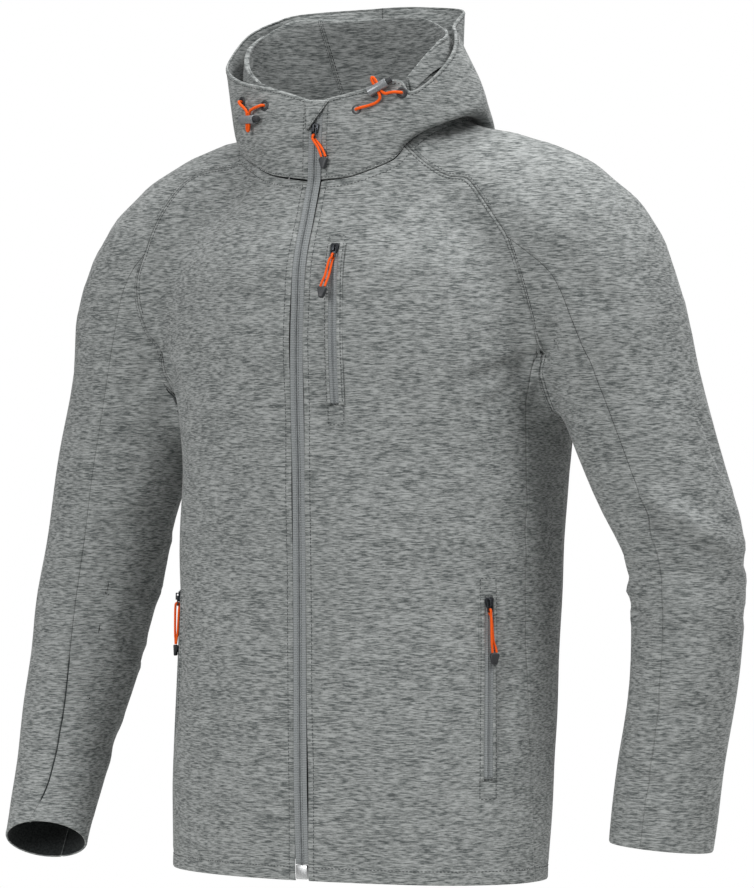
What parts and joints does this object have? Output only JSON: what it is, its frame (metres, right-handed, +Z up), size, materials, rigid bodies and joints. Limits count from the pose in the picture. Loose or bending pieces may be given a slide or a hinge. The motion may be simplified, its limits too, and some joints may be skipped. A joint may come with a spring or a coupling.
{
  "type": "hooded softshell jacket",
  "caption": "Men's hooded softshell jacket with raglan sleeves, centre zip, zipped pockets and cord stoppers, filled out as worn with the hood down.",
  "frame": {"origin": "middle of the wearer's neck base, where the garment hangs from neck and shoulders", "axes": "+X towards the wearer's left, -Y is the way the wearer faces, +Z up"},
  "size_m": [0.7678, 0.301, 0.8339],
  "materials": {
    "heather_softshell": "matte heather grey knitted face",
    "zip_tape": "woven tape with a fine coil",
    "zip_metal": "satin die-cast",
    "dark_plastic": "fine satin",
    "orange_cord": "braided cord"
  },
  "bodies": {
    "jacket": {"front_left": "heather_softshell", "side_left": "heather_softshell", "sleeve_upper_left": "heather_softshell", "sleeve_under_left": "heather_softshell", "front_right": "heather_softshell", "side_right": "heather_softshell", "sleeve_upper_right": "heather_softshell", "sleeve_under_right": "heather_softshell", "back": "heather_softshell", "hood_side_left": "heather_softshell", "hood_side_right": "heather_softshell", "hood_fold_left": "heather_softshell", "hood_fold_right": "heather_softshell", "chin_guard": "heather_softshell", "zip_tape_left": "zip_tape", "zip_tape_right": "zip_tape", "chest_zip": "zip_tape", "hand_left_zip": "zip_tape", "hand_right_zip": "zip_tape", "zip_bottom_box": "zip_metal", "main_slider": "zip_metal", "chest_slider": "zip_metal", "hand_left_slider": "zip_metal", "hand_right_slider": "zip_metal", "eyelet_left_front": "dark_plastic", "eyelet_left_back": "dark_plastic", "eyelet_right_front": "dark_plastic", "eyelet_right_back": "dark_plastic", "cord_stopper_left": "dark_plastic", "drawcord_left": "orange_cord", "cord_stopper_right": "dark_plastic", "drawcord_right": "orange_cord"},
    "main_pull": {"main_tab": "zip_metal", "main_pull_cord": "orange_cord", "main_pull_end": "dark_plastic"},
    "chest_pull": {"chest_tab": "zip_metal", "chest_pull_cord": "orange_cord", "chest_pull_end": "dark_plastic"},
    "hand_left_pull": {"hand_left_tab": "zip_metal", "hand_left_pull_cord": "orange_cord", "hand_left_pull_end": "dark_plastic"},
    "hand_right_pull": {"hand_right_tab": "zip_metal", "hand_right_pull_cord": "orange_cord", "hand_right_pull_end": "dark_plastic"},
    "stopper_button_left": {"cord_stopper_button_left": "dark_plastic"},
    "stopper_button_right": {"cord_stopper_button_right": "dark_plastic"}
  },
  "joints": [
    {"name": "main_pull_swing", "type": "hinge", "parent": "jacket", "child": "main_pull", "pos_m": [0, -0.08826, 0.01584], "axis": [-1, 0, 0], "range_deg": [0, 130]},
    {"name": "chest_pull_swing", "type": "hinge", "parent": "jacket", "child": "chest_pull", "pos_m": [0.0375, -0.11489, -0.09849], "axis": [-0.9952, -0.0983, -0.0034], "range_deg": [0, 150]},
    {"name": "hand_left_pull_swing", "type": "hinge", "parent": "jacket", "child": "hand_left_pull", "pos_m": [0.17206, -0.05701, -0.42932], "axis": [-0.608, -0.7939, -0.0002], "range_deg": [0, 150]},
    {"name": "hand_right_pull_swing", "type": "hinge", "parent": "jacket", "child": "hand_right_pull", "pos_m": [-0.17206, -0.05701, -0.42932], "axis": [-0.608, 0.7939, 0.0002], "range_deg": [0, 150]},
    {"name": "stopper_press_left", "type": "slide", "parent": "jacket", "child": "stopper_button_left", "axis": [-0.8188, -0.3, -0.4894], "range_m": [0, 0.0025], "stiffness_N_per_m": 250},
    {"name": "stopper_press_right", "type": "slide", "parent": "jacket", "child": "stopper_button_right", "axis": [-0.9477, 0.3192, 0], "range_m": [0, 0.0025], "stiffness_N_per_m": 250}
  ]
}
